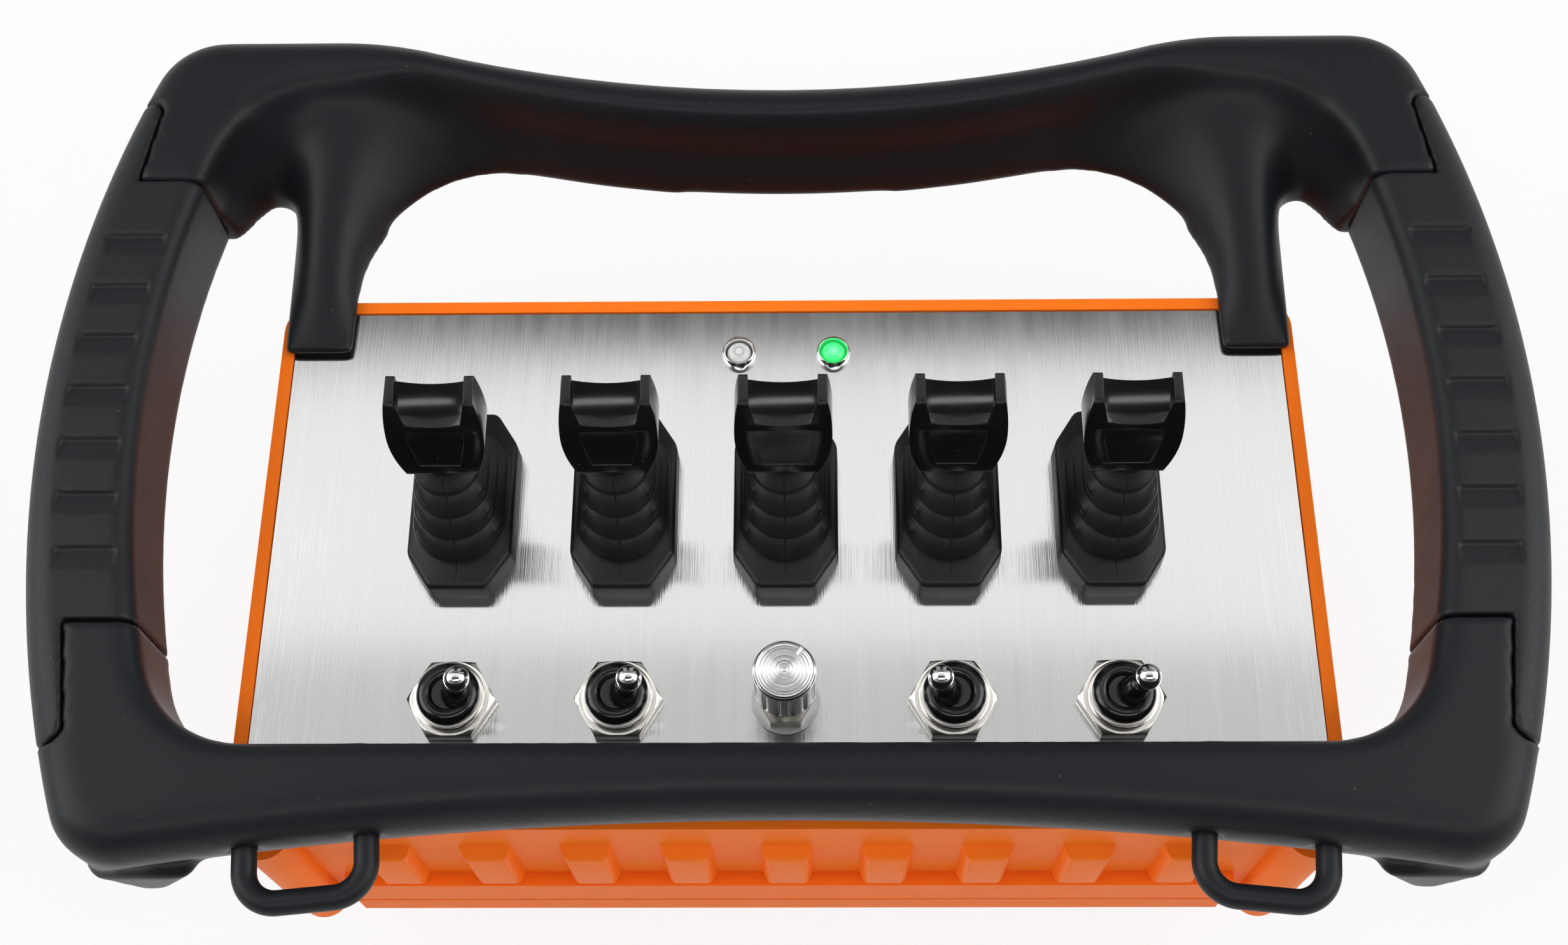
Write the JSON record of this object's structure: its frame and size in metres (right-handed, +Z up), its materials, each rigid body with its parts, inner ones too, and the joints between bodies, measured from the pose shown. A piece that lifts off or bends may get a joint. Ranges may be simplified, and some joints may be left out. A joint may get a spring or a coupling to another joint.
{
  "type": "wireless crane remote control",
  "caption": "Belly-box radio remote control for a crane: orange case, brushed control panel with paddle levers, toggle switches, a knob and lamps, inside a black carrying ring with side grips.",
  "frame": {"origin": "centre of the case's base, on the table it rests on", "axes": "+X to the operator's right, +Y away from the operator, +Z up out of the control panel"},
  "size_m": [0.345, 0.2192, 0.1535],
  "materials": {
    "orange_case": "satin moulded",
    "handle_black": "satin",
    "grip_rubber": "soft matt",
    "seal_rubber": "matt",
    "boot_rubber": "matt",
    "paddle_black": "gloss",
    "panel_metal": "brushed",
    "nickel": "bright nickel plate",
    "steel": "plain",
    "black_steel": "black coat",
    "knob_metal": "turned",
    "clear_lens": "clear",
    "green_lens": "lit green",
    "switch_plastic": "moulded",
    "battery_black": "moulded",
    "board_green": "lacquered"
  },
  "bodies": {
    "case": {"upper_case": "orange_case", "lower_case": "orange_case", "battery_cover": "orange_case", "case_seal": "seal_rubber", "control_panel": "panel_metal", "strap_loop_left": "black_steel", "strap_loop_right": "black_steel", "handle_frame": "handle_black", "grip_left": "grip_rubber", "grip_right": "grip_rubber", "lever_pins": "steel", "toggle_switches": "switch_plastic", "toggle_nuts": "nickel", "pot_body": "nickel", "pot_washer": "steel", "pot_nut": "nickel", "lamp_lens_clear": "clear_lens", "lamp_lens_green": "green_lens", "lamp_bezels": "nickel", "lamp_nuts": "nickel", "battery_pack": "battery_black", "main_board": "board_green", "radio_module": "steel", "antenna": "steel", "case_screws": "steel", "handle_screws": "steel", "cover_screws": "steel", "board_screws": "steel", "lever_housing_1": "switch_plastic", "lever_boot_1": "boot_rubber", "lever_housing_2": "switch_plastic", "lever_boot_2": "boot_rubber", "lever_housing_3": "switch_plastic", "lever_boot_3": "boot_rubber", "lever_housing_4": "switch_plastic", "lever_boot_4": "boot_rubber", "lever_housing_5": "switch_plastic", "lever_boot_5": "boot_rubber", "toggle_boot_1": "boot_rubber", "toggle_boot_2": "boot_rubber", "toggle_boot_3": "boot_rubber", "toggle_boot_4": "boot_rubber"},
    "lever_1": {"lever_stem_1": "steel", "lever_paddle_1": "paddle_black"},
    "lever_2": {"lever_stem_2": "steel", "lever_paddle_2": "paddle_black"},
    "lever_3": {"lever_stem_3": "steel", "lever_paddle_3": "paddle_black"},
    "lever_4": {"lever_stem_4": "steel", "lever_paddle_4": "paddle_black"},
    "lever_5": {"lever_stem_5": "steel", "lever_paddle_5": "paddle_black"},
    "toggle_1": {"toggle_lever_1": "nickel"},
    "toggle_2": {"toggle_lever_2": "nickel"},
    "toggle_3": {"toggle_lever_3": "nickel"},
    "toggle_4": {"toggle_lever_4": "nickel"},
    "knob_turner": {"knob": "knob_metal", "pot_shaft": "steel"}
  },
  "joints": [
    {"name": "lever_1_tilt", "type": "hinge", "parent": "case", "child": "lever_1", "pos_m": [-0.076, 0.0104, 0.0825], "axis": [1, 0, 0], "range_deg": [-20, 20], "stiffness_Nm_per_rad": 0.6, "deforming": ["lever_boot_1"]},
    {"name": "lever_2_tilt", "type": "hinge", "parent": "case", "child": "lever_2", "pos_m": [-0.038, 0.0104, 0.0825], "axis": [1, 0, 0], "range_deg": [-20, 20], "stiffness_Nm_per_rad": 0.6, "deforming": ["lever_boot_2"]},
    {"name": "lever_3_tilt", "type": "hinge", "parent": "case", "child": "lever_3", "pos_m": [0, 0.0104, 0.0825], "axis": [1, 0, 0], "range_deg": [-20, 20], "stiffness_Nm_per_rad": 0.6, "deforming": ["lever_boot_3"]},
    {"name": "lever_4_tilt", "type": "hinge", "parent": "case", "child": "lever_4", "pos_m": [0.038, 0.0104, 0.0825], "axis": [1, 0, 0], "range_deg": [-20, 20], "stiffness_Nm_per_rad": 0.6, "deforming": ["lever_boot_4"]},
    {"name": "lever_5_tilt", "type": "hinge", "parent": "case", "child": "lever_5", "pos_m": [0.076, 0.0104, 0.0825], "axis": [1, 0, 0], "range_deg": [-20, 20], "stiffness_Nm_per_rad": 0.6, "deforming": ["lever_boot_5"]},
    {"name": "toggle_1_flip", "type": "hinge", "parent": "case", "child": "toggle_1", "pos_m": [-0.076, -0.0375, 0.0985], "axis": [0, 1, 0], "range_deg": [-23, 0], "deforming": ["toggle_boot_1"]},
    {"name": "toggle_2_flip", "type": "hinge", "parent": "case", "child": "toggle_2", "pos_m": [-0.038, -0.0375, 0.0985], "axis": [0, 1, 0], "range_deg": [-23, 0], "deforming": ["toggle_boot_2"]},
    {"name": "toggle_3_flip", "type": "hinge", "parent": "case", "child": "toggle_3", "pos_m": [0.038, -0.0375, 0.0985], "axis": [0, 1, 0], "range_deg": [0, 23], "deforming": ["toggle_boot_3"]},
    {"name": "toggle_4_flip", "type": "hinge", "parent": "case", "child": "toggle_4", "pos_m": [0.076, -0.0375, 0.0985], "axis": [0, 1, 0], "range_deg": [-23, 0], "deforming": ["toggle_boot_4"]},
    {"name": "knob_turn", "type": "hinge", "parent": "case", "child": "knob_turner", "pos_m": [0, -0.0375, 0.0995], "axis": [0, 0, 1], "range_deg": [-112.5, 187.5]}
  ]
}
